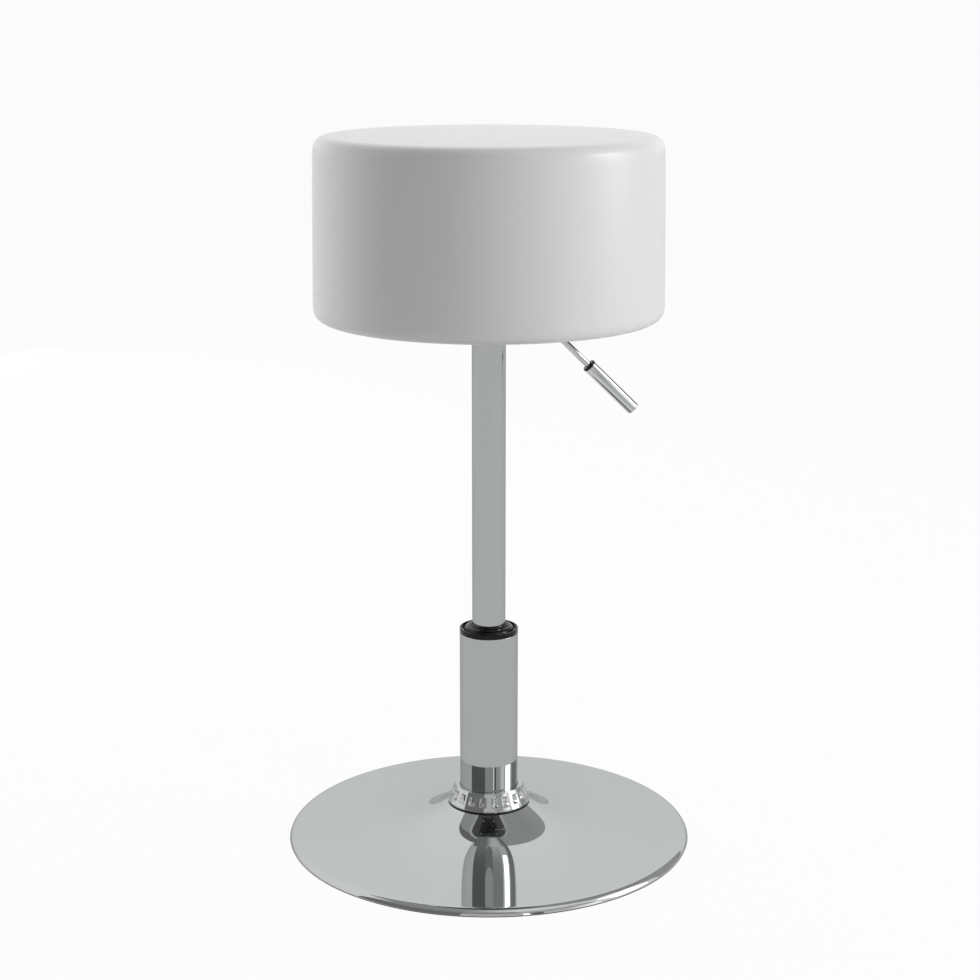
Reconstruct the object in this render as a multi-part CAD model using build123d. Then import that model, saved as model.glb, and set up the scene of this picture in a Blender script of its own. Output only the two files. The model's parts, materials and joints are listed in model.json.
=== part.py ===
from build123d import *
import os
from math import cos, radians, sin, sqrt, tan

# Swivel stool with a gas-lift column. Millimetres, +Z up, origin on the floor under the column.
# It is drawn raised, with the lever at rest.

# Seat
seat_top_height = 730.0
seat_thickness = 181.0
seat_diameter = 347.6
seat_crown = 3.0
seat_side_bulge = 0.7
seat_top_edge_radius = 19.0
seat_bottom_edge_radius = 11.0
cover_thickness = 1.2
cover_turn_in = 62.0
foam_clearance = 0.1
board_edge_padding = 13.8
board_thickness = 18.0
top_board_thickness = 12.0
hoop_thickness = 6.0
top_padding = 35.0
cloth_thickness = 0.6
cloth_diameter = 300.0
board_hole_gap = 4.0

# Seat plate, its socket for the column and its bolts
plate_width = 150.0
plate_thickness = 3.0
plate_corner_radius = 14.0
bolt_spacing = 120.0
bolt_diameter = 6.0
bolt_head_width = 10.0
bolt_head_height = 4.0
bolt_length = 22.0
washer_diameter = 12.0
washer_thickness = 1.2
tee_nut_barrel_diameter = 8.0
tee_nut_flange_diameter = 18.0
tee_nut_flange_thickness = 1.5
socket_diameter = 42.0
socket_length = 38.0
socket_below_plate = 17.4

# Column
upper_tube_diameter = 34.4
upper_tube_wall = 2.0
upper_tube_end_lip = 2.0
rod_hole_gap = 2.9
pin_hole_gap = 2.0
taper_end_diameter = 32.6
tube_above_socket = 10.0
outer_tube_diameter = 60.4
outer_tube_wall = 2.0
outer_tube_top = 222.0
lift_stroke = 120.0

# Guide bush in the outer tube
bush_length = 72.0
bush_lip_height = 5.3
bush_lip_round = 0.8
bush_rim_width = 3.7
bush_groove_width = 1.5
bush_groove_depth = 1.5
bush_cone_rise = 2.2
wiper_width = 3.2
wiper_depth = 4.0
wiper_lip_height = 1.6
wiper_lip_width = 0.8

# Gas lift inside the upper tube
tube_below_lip = 72.0
pressure_tube_diameter = 27.4
pressure_tube_wall = 1.3
rod_guide_length = 18.0
spigot_length = 4.0
rod_seal_thickness = 5.0
rod_diameter = 10.0
rod_stub_diameter = 8.0
rod_stub_below_clip = 0.9
piston_length = 12.0
piston_above_seal = 3.0
ring_seal_width = 3.0
ring_seal_depth = 1.7
valve_length = 34.0
valve_pin_diameter = 6.0
valve_pin_in_chamber = 4.0
valve_pin_above_tube = 12.4
valve_pin_dome_radius = 6.0
valve_seal_heights = (8.5, 20.4)

# Thrust bearing and rod fixing
race_diameter = 28.0
race_thickness = 1.5
ball_diameter = 4.0
ball_circle_diameter = 20.0
ball_count = 10
cage_thickness = 1.2
cage_width = 6.0
buffer_diameter = 26.0
buffer_stop_gap = 1.0
rod_washer_diameter = 16.0
rod_washer_thickness = 1.0
rod_clip_diameter = 13.0
rod_clip_thickness = 0.9
rod_groove_depth = 0.8

# Base
base_diameter = 420.0
rim_height = 7.6
rim_round = 2.5
shell_thickness = 1.5
shell_floor_gap = 1.0
crown_height = 36.0
crown_diameter = 82.0
flare_crown_angle = 40.0
flare_rim_angle = 2.0
flare_crown_pull = 0.30
flare_rim_pull = 0.55
floor_ring_width = 6.0
ballast_edge_gap = 11.5
ballast_thickness = 4.0
ballast_floor_gap = 2.0
ballast_bore = 40.0
foot_plate_diameter = 150.0
foot_plate_thickness = 5.0
foot_screw_count = 4
foot_screw_circle = 110.0
foot_screw_diameter = 8.0
foot_screw_head_diameter = 14.0
support_ring_width = 9.0
support_ring_height = 4.0

# Trim ring
trim_height = 20.0
trim_top_diameter = 70.0
trim_bottom_diameter = 86.0
trim_wall = 3.0
trim_lip_height = 1.4
trim_lip_width = 0.7
window_count = 20
window_width = 6.0
window_height = 10.0
window_depth = 1.5
window_round = 1.0

# Release lever, drawn along +X and then turned to its place
lever_azimuth = 10.0
lever_droop = 44.6
lever_rod_diameter = 6.6
lever_bend_radius = 10.0
lever_riser_reach = 46.0
lever_tip_past_pin = 6.0
pivot_reach = 60.4
pivot_below_plate = 5.4
pivot_pin_diameter = 4.0
pivot_barrel_diameter = 10.0
pivot_barrel_length = 14.0
pivot_head_diameter = 6.4
pivot_head_thickness = 1.2
pivot_clip_diameter = 8.0
pivot_clip_thickness = 0.8
pivot_pin_overhang = 2.0
lug_thickness = 2.5
lug_width = 12.0
lever_slot_width = 12.6
lever_slot_start = 36.0
lever_slot_end = 66.0
handle_from_pivot = 59.0
handle_length = 66.8
handle_diameter = 12.6
handle_end_round = 1.0
handle_end_wall = 7.0
handle_cap_length = 4.0
handle_cap_diameter = 13.4
handle_cap_round = 1.4

# Clearances
press_gap = 0.02
running_gap = 0.06
loose_gap = 0.3
seating_gap = 0.1

# Radii and heights that follow from the sizes above
seat_radius = seat_diameter / 2
seat_bottom = seat_top_height - seat_thickness
board_top = seat_bottom + board_thickness
board_radius = seat_radius - board_edge_padding
top_board_top = seat_top_height - seat_crown - cover_thickness - top_padding
hoop_top = top_board_top - top_board_thickness
plate_top = seat_bottom - cloth_thickness
plate_bottom = plate_top - plate_thickness
socket_radius = socket_diameter / 2
socket_bottom = plate_bottom - socket_below_plate
socket_top = socket_bottom + socket_length
turn_in_radius = seat_radius - cover_turn_in

upper_radius = upper_tube_diameter / 2
upper_bore = upper_radius - upper_tube_wall
taper_radius = taper_end_diameter / 2
tube_top = socket_top + tube_above_socket
tube_bottom = outer_tube_top - tube_below_lip
outer_radius = outer_tube_diameter / 2
outer_bore = outer_radius - outer_tube_wall
bush_bore = upper_radius + running_gap
wiper_radius = upper_radius + running_gap + wiper_width
bush_lip_top = outer_tube_top + bush_lip_height

pressure_radius = pressure_tube_diameter / 2
pressure_bore = pressure_radius - pressure_tube_wall
rod_radius = rod_diameter / 2
stub_radius = rod_stub_diameter / 2
guide_bottom = tube_bottom + upper_tube_end_lip
guide_top = guide_bottom + rod_guide_length
rod_seal_bottom = guide_top + spigot_length
piston_bottom = rod_seal_bottom + rod_seal_thickness + piston_above_seal
piston_top = piston_bottom + piston_length
valve_top = tube_top - upper_tube_end_lip
valve_bottom = valve_top - valve_length
valve_pin_radius = valve_pin_diameter / 2
valve_pin_top = tube_top + valve_pin_above_tube

base_radius = base_diameter / 2
floor_ring_radius = base_radius - rim_round
ballast_radius = floor_ring_radius - floor_ring_width - ballast_edge_gap
ballast_top = ballast_floor_gap + ballast_thickness
foot_plate_top = ballast_top + foot_plate_thickness
race_radius = race_diameter / 2
ball_radius = ball_diameter / 2
lower_race_top = foot_plate_top + race_thickness
upper_race_bottom = lower_race_top + ball_diameter + 2 * press_gap
bearing_top = upper_race_bottom + race_thickness
buffer_top = tube_bottom - lift_stroke - buffer_stop_gap
rod_washer_bottom = ballast_top - seating_gap - rod_washer_thickness
rod_clip_bottom = rod_washer_bottom - press_gap - rod_clip_thickness
foot_screw_radius = foot_screw_diameter / 2
foot_screw_head_radius = foot_screw_head_diameter / 2
trim_bottom = crown_height
trim_top = trim_bottom + trim_height

lever_radius = lever_rod_diameter / 2
pivot_height = plate_bottom - pivot_below_plate
pivot_pin_radius = pivot_pin_diameter / 2
lug_inner = pivot_barrel_length / 2 + loose_gap
lug_outer = lug_inner + lug_thickness
lever_finger_height = valve_pin_top + loose_gap + lever_radius
handle_radius = handle_diameter / 2
bolt_radius = bolt_diameter / 2


standing = (Align.CENTER, Align.CENTER, Align.MIN)


def disc(radius, bottom, top, bore=0.0):
    """A round plate or tube about the column axis."""
    body = Pos(0, 0, bottom) * Cylinder(radius, top - bottom, align=standing)
    if bore > 0:
        body -= Pos(0, 0, bottom) * Cylinder(bore, top - bottom, align=standing)
    return body


def turned(points):
    """A body turned about the column axis from a list of (radius, height) corners."""
    outline = Polyline([(r, 0, z) for r, z in points], close=True)
    return revolve(make_face(outline), Axis.Z)


def turned_edges(*edges):
    """A body turned about the column axis from lines, arcs and curves that close an outline."""
    return revolve(make_face(edges), Axis.Z)


def around(count, radius, start=0.0):
    """Places spaced evenly on a circle about the column axis."""
    return PolarLocations(radius, count, start_angle=start)


def square_places(spacing):
    """The corners of a square about the column axis."""
    return GridLocations(spacing, spacing, 2, 2)


def at_lever(shape):
    """Turns what was drawn along +X to the side where the lever is."""
    return Rot(0, 0, lever_azimuth) * shape


def as_group(solids):
    """Separate solids that are one kind of piece."""
    return Compound(children=list(solids))


def along_lever(distance):
    """A place on the straight of the lever, measured from its pivot, with Z pointing outwards."""
    x = pivot_reach + distance * cos(radians(lever_droop))
    z = pivot_height - distance * sin(radians(lever_droop))
    return Pos(x, 0, z) * Rot(0, 90 + lever_droop, 0)


def flare(drop):
    """The curve of the base from its crown to its rim, lowered by a sheet thickness for the inside."""
    crown_slope = radians(flare_crown_angle)
    rim_slope = radians(flare_rim_angle)
    start = (crown_diameter / 2 - drop * tan(crown_slope / 2), crown_height - drop)
    end = (base_radius - rim_round, rim_height - drop)
    span = end[0] - start[0]
    pull_out = flare_crown_pull * span
    pull_in = flare_rim_pull * span
    first = (start[0] + pull_out * cos(crown_slope), start[1] - pull_out * sin(crown_slope))
    second = (end[0] - pull_in * cos(rim_slope), end[1] + pull_in * sin(rim_slope))
    return Bezier(*[(r, 0, z) for r, z in (start, first, second, end)])


def rim_arc(radius):
    """The rounded rim of the base, as a quarter circle of the given radius."""
    centre_r = base_radius - rim_round
    centre_z = rim_height - rim_round
    middle = radius * sqrt(0.5)
    return ThreePointArc(
        (centre_r, 0, centre_z + radius),
        (centre_r + middle, 0, centre_z + middle),
        (centre_r + radius, 0, centre_z),
    )


def base_shell():
    hole = outer_radius + loose_gap
    top_curve = flare(0.0)
    under_curve = flare(shell_thickness)
    top_round = rim_arc(rim_round)
    under_round = rim_arc(rim_round - shell_thickness)
    lip_outer = (base_radius, 0, shell_floor_gap)
    lip_inner = (base_radius - shell_thickness, 0, shell_floor_gap)
    return turned_edges(
        Line((hole, 0, crown_height), top_curve @ 0),
        top_curve,
        top_round,
        Line(top_round @ 1, lip_outer),
        Line(lip_outer, lip_inner),
        Line(lip_inner, under_round @ 1),
        under_round,
        under_curve,
        Line(under_curve @ 0, (hole, 0, crown_height - shell_thickness)),
        Line((hole, 0, crown_height - shell_thickness), (hole, 0, crown_height)),
    )


def floor_ring():
    top = rim_height - shell_thickness - seating_gap
    return disc(floor_ring_radius, 0, top, floor_ring_radius - floor_ring_width)


def ballast_plate():
    plate = disc(ballast_radius, ballast_floor_gap, ballast_top, ballast_bore / 2)
    head_depth = foot_screw_head_radius - foot_screw_radius
    for place in around(foot_screw_count, foot_screw_circle / 2, 45):
        plate -= place * disc(foot_screw_radius + loose_gap, ballast_floor_gap, ballast_top)
        plate -= place * Pos(0, 0, ballast_floor_gap + head_depth / 2) * Cone(
            foot_screw_head_radius + seating_gap, foot_screw_radius + seating_gap, head_depth
        )
    return plate


def foot_plate():
    plate = disc(foot_plate_diameter / 2, ballast_top, foot_plate_top, stub_radius + running_gap)
    for place in around(foot_screw_count, foot_screw_circle / 2, 45):
        plate -= place * disc(foot_screw_radius + press_gap, ballast_top, foot_plate_top)
    return plate


def foot_screws():
    head_depth = foot_screw_head_radius - foot_screw_radius
    screw = turned([
        (0, ballast_floor_gap),
        (foot_screw_head_radius, ballast_floor_gap),
        (foot_screw_radius, ballast_floor_gap + head_depth),
        (foot_screw_radius, foot_plate_top),
        (0, foot_plate_top),
    ])
    return as_group(place * screw for place in around(foot_screw_count, foot_screw_circle / 2, 45))


def outer_tube():
    return disc(outer_radius, foot_plate_top, outer_tube_top, outer_bore)


def shell_support_ring():
    top = crown_height - shell_thickness
    inside = outer_radius + press_gap
    return disc(inside + support_ring_width, top - support_ring_height, top, inside)


def trim_ring():
    bore = outer_radius + loose_gap
    top_radius = trim_top_diameter / 2
    lip_radius = trim_bottom_diameter / 2
    skirt_radius = lip_radius - trim_lip_width
    skirt_foot = trim_bottom + trim_lip_height
    ring = turned([
        (bore, trim_top),
        (top_radius, trim_top),
        (skirt_radius, skirt_foot),
        (lip_radius, skirt_foot),
        (lip_radius, trim_bottom),
        (skirt_radius - trim_wall, trim_bottom),
        (top_radius - trim_wall / 2, trim_top - trim_wall),
        (bore, trim_top - trim_wall),
    ])
    lean = (skirt_radius - top_radius) / (trim_top - skirt_foot)
    middle = ((top_radius + skirt_radius) / 2, 0, (trim_top + skirt_foot) / 2)
    skirt_face = Plane(middle, x_dir=(-lean, 0, 1), z_dir=(1, 0, lean))
    window = skirt_face * extrude(
        RectangleRounded(window_height, window_width, window_round), window_depth, both=True
    )
    for place in around(window_count, 0, 360 / window_count / 2):
        ring -= place * window
    return ring


def guide_bush():
    rim = outer_radius - bush_rim_width
    groove = rim - bush_groove_width
    cone_top = bush_lip_top + bush_cone_rise
    pocket = bush_lip_top - wiper_depth
    return turned([
        (bush_bore, outer_tube_top - bush_length),
        (outer_bore - press_gap, outer_tube_top - bush_length),
        (outer_bore - press_gap, outer_tube_top),
        (outer_radius, outer_tube_top),
        (outer_radius, bush_lip_top - bush_lip_round),
        (outer_radius - bush_lip_round, bush_lip_top),
        (rim, bush_lip_top),
        (rim, bush_lip_top - bush_groove_depth),
        (groove, bush_lip_top - bush_groove_depth),
        (groove, bush_lip_top),
        (wiper_radius + press_gap, cone_top),
        (wiper_radius + press_gap, pocket),
        (bush_bore, pocket),
    ])


def wiper_seal():
    cone_top = bush_lip_top + bush_cone_rise
    pocket = bush_lip_top - wiper_depth
    return turned([
        (bush_bore, pocket),
        (wiper_radius, pocket),
        (wiper_radius, cone_top),
        (bush_bore + wiper_lip_width, cone_top + wiper_lip_height),
        (bush_bore, cone_top + wiper_lip_height),
    ])


def lower_race():
    return disc(race_radius, foot_plate_top, lower_race_top, stub_radius + loose_gap)


def ball_places():
    height = lower_race_top + press_gap + ball_radius
    return [Pos(0, 0, height) * place for place in around(ball_count, ball_circle_diameter / 2)]


def bearing_balls():
    return as_group(place * Sphere(ball_radius) for place in ball_places())


def ball_cage():
    middle = ball_circle_diameter / 2
    height = lower_race_top + press_gap + ball_radius
    cage = disc(
        middle + cage_width / 2,
        height - cage_thickness / 2,
        height + cage_thickness / 2,
        middle - cage_width / 2,
    )
    for place in ball_places():
        cage -= place * Cylinder(ball_radius + running_gap, cage_thickness)
    return cage


def upper_race():
    return disc(race_radius, upper_race_bottom, bearing_top, stub_radius + running_gap)


def rubber_buffer():
    return disc(buffer_diameter / 2, bearing_top, buffer_top, rod_radius + seating_gap)


def piston_rod():
    groove = stub_radius - rod_groove_depth
    clip_top = rod_clip_bottom + rod_clip_thickness + press_gap
    clip_foot = rod_clip_bottom - press_gap
    stub_end = clip_foot - rod_stub_below_clip
    return turned([
        (0, stub_end),
        (stub_radius, stub_end),
        (stub_radius, clip_foot),
        (groove, clip_foot),
        (groove, clip_top),
        (stub_radius, clip_top),
        (stub_radius, bearing_top),
        (rod_radius, bearing_top),
        (rod_radius, piston_top),
        (0, piston_top),
    ])


def rod_washer():
    top = rod_washer_bottom + rod_washer_thickness
    return disc(rod_washer_diameter / 2, rod_washer_bottom, top, stub_radius + running_gap)


def rod_clip():
    top = rod_clip_bottom + rod_clip_thickness
    return disc(rod_clip_diameter / 2, rod_clip_bottom, top, stub_radius - rod_groove_depth + press_gap)


def grooved_plug(radius, bottom, top, bore, groove_bottoms):
    """A round plug with a bore and grooves for ring seals."""
    plug = disc(radius, bottom, top, bore)
    for groove in groove_bottoms:
        plug -= disc(radius, groove, groove + ring_seal_width, radius - ring_seal_depth)
    return plug


def ring_seal(radius, groove):
    """A ring seal in the groove of a plug of the given radius."""
    inside = radius - ring_seal_depth + press_gap
    return disc(radius, groove + press_gap, groove + ring_seal_width - press_gap, inside)


def piston_groove():
    return (piston_bottom + piston_top - ring_seal_width) / 2


def piston():
    radius = pressure_bore - running_gap
    return grooved_plug(radius, piston_bottom, piston_top, rod_radius + press_gap, [piston_groove()])


def piston_seal():
    return ring_seal(pressure_bore - running_gap, piston_groove())


def upper_tube():
    lip_bore = rod_radius + rod_hole_gap
    pin_hole = valve_pin_radius + pin_hole_gap
    return turned([
        (lip_bore, tube_bottom),
        (upper_radius, tube_bottom),
        (upper_radius, socket_bottom),
        (taper_radius, socket_top),
        (taper_radius, tube_top),
        (pin_hole, tube_top),
        (pin_hole, valve_top),
        (upper_bore, valve_top),
        (upper_bore, guide_bottom),
        (lip_bore, guide_bottom),
    ])


def pressure_tube():
    return disc(pressure_radius, guide_top, valve_bottom, pressure_bore)


def rod_guide():
    bore = rod_radius + running_gap
    return turned([
        (bore, guide_bottom),
        (upper_bore - press_gap, guide_bottom),
        (upper_bore - press_gap, guide_top),
        (pressure_bore - press_gap, guide_top),
        (pressure_bore - press_gap, rod_seal_bottom),
        (bore, rod_seal_bottom),
    ])


def rod_seal():
    top = rod_seal_bottom + rod_seal_thickness
    return disc(pressure_bore - press_gap, rod_seal_bottom, top, rod_radius + running_gap)


def valve_grooves():
    return [valve_bottom + height for height in valve_seal_heights]


def valve_body():
    bore = valve_pin_radius + running_gap
    body = grooved_plug(upper_bore - press_gap, valve_bottom, valve_top, bore, valve_grooves())
    return body + disc(pressure_bore - press_gap, valve_bottom - spigot_length, valve_bottom, bore)


def valve_seals():
    return as_group(ring_seal(upper_bore - press_gap, groove) for groove in valve_grooves())


def valve_pin():
    edge = valve_pin_dome_radius - sqrt(valve_pin_dome_radius ** 2 - valve_pin_radius ** 2)
    foot = valve_bottom - spigot_length + valve_pin_in_chamber
    dome = ThreePointArc(
        (valve_pin_radius, 0, valve_pin_top - edge),
        (valve_pin_radius / 2, 0, valve_pin_top - valve_pin_dome_radius
            + sqrt(valve_pin_dome_radius ** 2 - valve_pin_radius ** 2 / 4)),
        (0, 0, valve_pin_top),
    )
    return turned_edges(
        Line((0, 0, foot), (valve_pin_radius, 0, foot)),
        Line((valve_pin_radius, 0, foot), dome @ 0),
        dome,
        Line(dome @ 1, (0, 0, foot)),
    )


def taper_socket():
    return turned([
        (upper_radius + press_gap, socket_bottom),
        (socket_radius, socket_bottom),
        (socket_radius, socket_top),
        (taper_radius + press_gap, socket_top),
    ])


def lever_slot(bottom, top):
    """The slot that the lever passes through, between two heights."""
    length = lever_slot_end - lever_slot_start
    middle = (lever_slot_start + lever_slot_end) / 2
    slot = Pos(middle, 0, bottom) * SlotOverall(length, lever_slot_width)
    return at_lever(extrude(slot, top - bottom))


def seat_plate():
    outline = RectangleRounded(plate_width, plate_width, plate_corner_radius)
    plate = extrude(Pos(0, 0, plate_bottom) * outline, plate_thickness)
    plate -= disc(socket_radius + press_gap, plate_bottom, plate_top)
    plate -= lever_slot(plate_bottom, plate_top)
    for place in square_places(bolt_spacing):
        plate -= place * disc(bolt_radius + loose_gap, plate_bottom, plate_top)
    return plate


def lever_lugs():
    top = plate_bottom
    tongue = Pos(0, (pivot_height + top) / 2) * Rectangle(lug_width, top - pivot_height)
    tongue += Pos(0, pivot_height) * Circle(lug_width / 2)
    tongue -= Pos(0, top + lug_width) * Rectangle(lug_width * 2, lug_width * 2)
    tongue -= Pos(0, pivot_height) * Circle(pivot_pin_radius + press_gap)
    lug = extrude(Plane.XZ * tongue, lug_thickness)
    near = Pos(pivot_reach, -lug_inner, 0) * lug
    far = Pos(pivot_reach, lug_outer, 0) * lug
    return as_group([at_lever(near), at_lever(far)])


def pivot_pin():
    """A pin across the lugs, with a head at its near end."""
    shank_length = 2 * lug_outer + 2 * press_gap + pivot_clip_thickness + pivot_pin_overhang
    start = -lug_outer - press_gap
    across = Pos(pivot_reach, start, pivot_height) * Rot(-90, 0, 0)
    pin = across * Cylinder(pivot_pin_radius, shank_length, align=standing)
    head = Pos(0, -pivot_head_thickness, 0) * across * Cylinder(
        pivot_head_diameter / 2, pivot_head_thickness, align=standing
    )
    return at_lever(pin + head)


def pivot_clip():
    across = Pos(pivot_reach, lug_outer + press_gap, pivot_height) * Rot(-90, 0, 0)
    clip = Cylinder(pivot_clip_diameter / 2, pivot_clip_thickness, align=standing)
    clip -= Cylinder(pivot_pin_radius + press_gap, pivot_clip_thickness, align=standing)
    return at_lever(across * clip)


def seat_bolts():
    head_top = plate_bottom - washer_thickness
    head_radius = bolt_head_width / sqrt(3)
    head = Pos(0, 0, head_top - bolt_head_height) * RegularPolygon(head_radius, 6)
    bolt = extrude(head, bolt_head_height) + disc(bolt_radius, head_top, head_top + bolt_length)
    return as_group(place * bolt for place in square_places(bolt_spacing))


def bolt_washers():
    bottom = plate_bottom - washer_thickness
    washer = disc(washer_diameter / 2, bottom, plate_bottom, bolt_radius + loose_gap)
    return as_group(place * washer for place in square_places(bolt_spacing))


def tee_nuts():
    flange_bottom = board_top - tee_nut_flange_thickness
    nut = disc(tee_nut_barrel_diameter / 2, seat_bottom, flange_bottom)
    nut += disc(tee_nut_flange_diameter / 2, flange_bottom, board_top)
    nut -= disc(bolt_radius + press_gap, seat_bottom, board_top)
    return as_group(place * nut for place in square_places(bolt_spacing))


def seat_board():
    centre_hole = socket_radius + board_hole_gap
    rebate = seat_bottom + cover_thickness + seating_gap
    board = turned([
        (centre_hole, seat_bottom),
        (turn_in_radius - seating_gap, seat_bottom),
        (turn_in_radius - seating_gap, rebate),
        (board_radius, rebate),
        (board_radius, board_top),
        (centre_hole, board_top),
    ])
    board -= lever_slot(seat_bottom, board_top)
    flange_bottom = board_top - tee_nut_flange_thickness
    for place in square_places(bolt_spacing):
        board -= place * disc(tee_nut_barrel_diameter / 2 + press_gap, seat_bottom, board_top)
        board -= place * disc(tee_nut_flange_diameter / 2 + seating_gap, flange_bottom, board_top)
    return board


def dust_cloth():
    cloth = disc(cloth_diameter / 2, plate_top, seat_bottom, socket_radius + board_hole_gap)
    cloth -= lever_slot(plate_top, seat_bottom)
    for place in square_places(bolt_spacing):
        cloth -= place * disc(bolt_radius + loose_gap, plate_top, seat_bottom)
    return cloth


def drum(inset):
    """The upholstered drum: crowned top, slightly full sides and rounded edges, drawn in by an inset."""
    radius = seat_radius - seat_side_bulge - inset
    bottom = seat_bottom + inset
    top = seat_top_height - inset
    shoulder = top - seat_crown
    crown_radius = (radius ** 2 + seat_crown ** 2) / (2 * seat_crown)
    half_way = crown_radius - sqrt(crown_radius ** 2 - radius ** 2 / 4)
    crown = ThreePointArc((0, 0, top), (radius / 2, 0, top - half_way), (radius, 0, shoulder))
    side_middle = (radius + seat_side_bulge, 0, (bottom + shoulder) / 2)
    side = ThreePointArc((radius, 0, shoulder), side_middle, (radius, 0, bottom))
    underside = Line((radius, 0, bottom), (0, 0, bottom))
    axis_line = Line((0, 0, bottom), (0, 0, top))
    half = make_face([crown, side, underside, axis_line])
    for height, edge_radius in ((bottom, seat_bottom_edge_radius), (shoulder, seat_top_edge_radius)):
        corner = half.vertices().sort_by_distance((radius, 0, height))[0]
        half = fillet(corner, edge_radius - inset)
    return revolve(half, Axis.Z)


def cushion_cover():
    skin = drum(0.0) - drum(cover_thickness)
    return skin - disc(turn_in_radius, seat_bottom, seat_bottom + 2 * cover_thickness)


def seat_hoop():
    return disc(board_radius, board_top, hoop_top, board_radius - hoop_thickness)


def top_board():
    return disc(board_radius, hoop_top, top_board_top)


def cushion_foam():
    """Padding over the top and around the side of the wooden drum."""
    foam = drum(cover_thickness + foam_clearance)
    return foam - disc(board_radius + foam_clearance, seat_bottom, top_board_top + foam_clearance)


def lever_rod():
    """Straight outside, then up through the plate and in over the valve pin."""
    knee_height = pivot_height + (pivot_reach - lever_riser_reach) * tan(radians(lever_droop))
    outer_end = along_lever(handle_from_pivot + handle_length - handle_end_wall).position
    path = FilletPolyline(
        (outer_end.X, 0, outer_end.Z),
        (lever_riser_reach, 0, knee_height),
        (lever_riser_reach, 0, lever_finger_height),
        (-lever_tip_past_pin, 0, lever_finger_height),
        radius=lever_bend_radius,
    )
    section = Plane(path @ 0, z_dir=path % 0) * Circle(lever_radius)
    rod = sweep(section, path)
    barrel = Pos(pivot_reach, 0, pivot_height) * Rot(90, 0, 0) * Cylinder(
        pivot_barrel_diameter / 2, pivot_barrel_length
    )
    bore = Pos(pivot_reach, 0, pivot_height) * Rot(90, 0, 0) * Cylinder(
        pivot_pin_radius + running_gap, pivot_barrel_length
    )
    return at_lever(rod + barrel - bore)


def lever_handle():
    start = handle_from_pivot + handle_cap_length
    length = handle_length - handle_cap_length
    grip = Cylinder(handle_radius, length, align=standing)
    grip = fillet(grip.edges().sort_by(Axis.Z)[-1], handle_end_round)
    grip -= Cylinder(lever_radius + press_gap, length - handle_end_wall + press_gap, align=standing)
    return at_lever(along_lever(start) * grip)


def lever_cap():
    cap = Cylinder(handle_cap_diameter / 2, handle_cap_length, align=standing)
    cap = fillet(cap.edges().sort_by(Axis.Z)[0], handle_cap_round)
    cap -= Cylinder(lever_radius + press_gap, handle_cap_length, align=standing)
    return at_lever(along_lever(handle_from_pivot) * cap)


pieces = [
    base_shell, floor_ring, ballast_plate, foot_plate, foot_screws, outer_tube, shell_support_ring,
    trim_ring, guide_bush, wiper_seal, lower_race, ball_cage, bearing_balls,
    upper_race, rubber_buffer, piston_rod, piston, piston_seal, rod_washer, rod_clip,
    upper_tube, pressure_tube, rod_guide, rod_seal, valve_body, valve_seals,
    taper_socket, seat_plate, lever_lugs, pivot_pin, pivot_clip, seat_bolts, bolt_washers, tee_nuts,
    seat_board, seat_hoop, top_board, dust_cloth, cushion_foam, cushion_cover,
    lever_rod, lever_handle, lever_cap, valve_pin,
]

os.makedirs("parts", exist_ok=True)
for piece in pieces:
    export_step(piece(), f"parts/{piece.__name__}.step")
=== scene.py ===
# %% [markdown]
# # Dressing a swivel stool
# The stool has a round chromed foot, a chromed column with a gas lift, a release lever and a padded drum
# seat. Its solids come from CAD with every joint in place. This lesson adds what a camera sees: clean turned
# metal, a stuffed white cover, moulded plastic, and a plain studio round it.

import json
from math import atan2, cos, pi, radians, sin, tan

import bmesh
import bpy
import numpy as np
from mathutils import Matrix, Vector

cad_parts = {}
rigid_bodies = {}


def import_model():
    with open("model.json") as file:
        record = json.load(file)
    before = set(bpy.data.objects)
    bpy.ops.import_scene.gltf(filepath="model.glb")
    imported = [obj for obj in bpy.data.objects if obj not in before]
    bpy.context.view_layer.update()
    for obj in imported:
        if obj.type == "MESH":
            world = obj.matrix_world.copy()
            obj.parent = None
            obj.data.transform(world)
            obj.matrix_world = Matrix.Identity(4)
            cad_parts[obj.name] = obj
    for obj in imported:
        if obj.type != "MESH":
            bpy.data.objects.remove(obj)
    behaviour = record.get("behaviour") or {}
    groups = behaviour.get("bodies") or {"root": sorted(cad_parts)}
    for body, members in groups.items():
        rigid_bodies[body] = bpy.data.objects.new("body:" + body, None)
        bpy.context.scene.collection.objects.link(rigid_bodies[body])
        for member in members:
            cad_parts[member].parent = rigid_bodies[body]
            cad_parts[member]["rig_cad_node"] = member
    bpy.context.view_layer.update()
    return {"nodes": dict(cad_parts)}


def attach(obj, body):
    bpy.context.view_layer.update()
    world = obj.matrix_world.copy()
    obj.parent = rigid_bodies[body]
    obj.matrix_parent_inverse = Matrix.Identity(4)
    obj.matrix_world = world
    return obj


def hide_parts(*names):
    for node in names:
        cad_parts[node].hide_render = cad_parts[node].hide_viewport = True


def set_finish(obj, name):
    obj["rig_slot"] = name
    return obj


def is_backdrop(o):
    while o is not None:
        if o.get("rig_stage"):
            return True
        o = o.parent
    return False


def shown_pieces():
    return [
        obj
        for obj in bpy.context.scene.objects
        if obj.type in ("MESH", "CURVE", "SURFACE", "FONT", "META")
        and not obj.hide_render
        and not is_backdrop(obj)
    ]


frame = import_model()
MM = 0.001

# %% [markdown]
# ## The view
# The stool was photographed from a little above seat height with a long lens, which keeps the drum's sides
# almost parallel. A camera far away with a narrow field gives that look. One pixel of shift puts the column
# where the picture has it.

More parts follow.
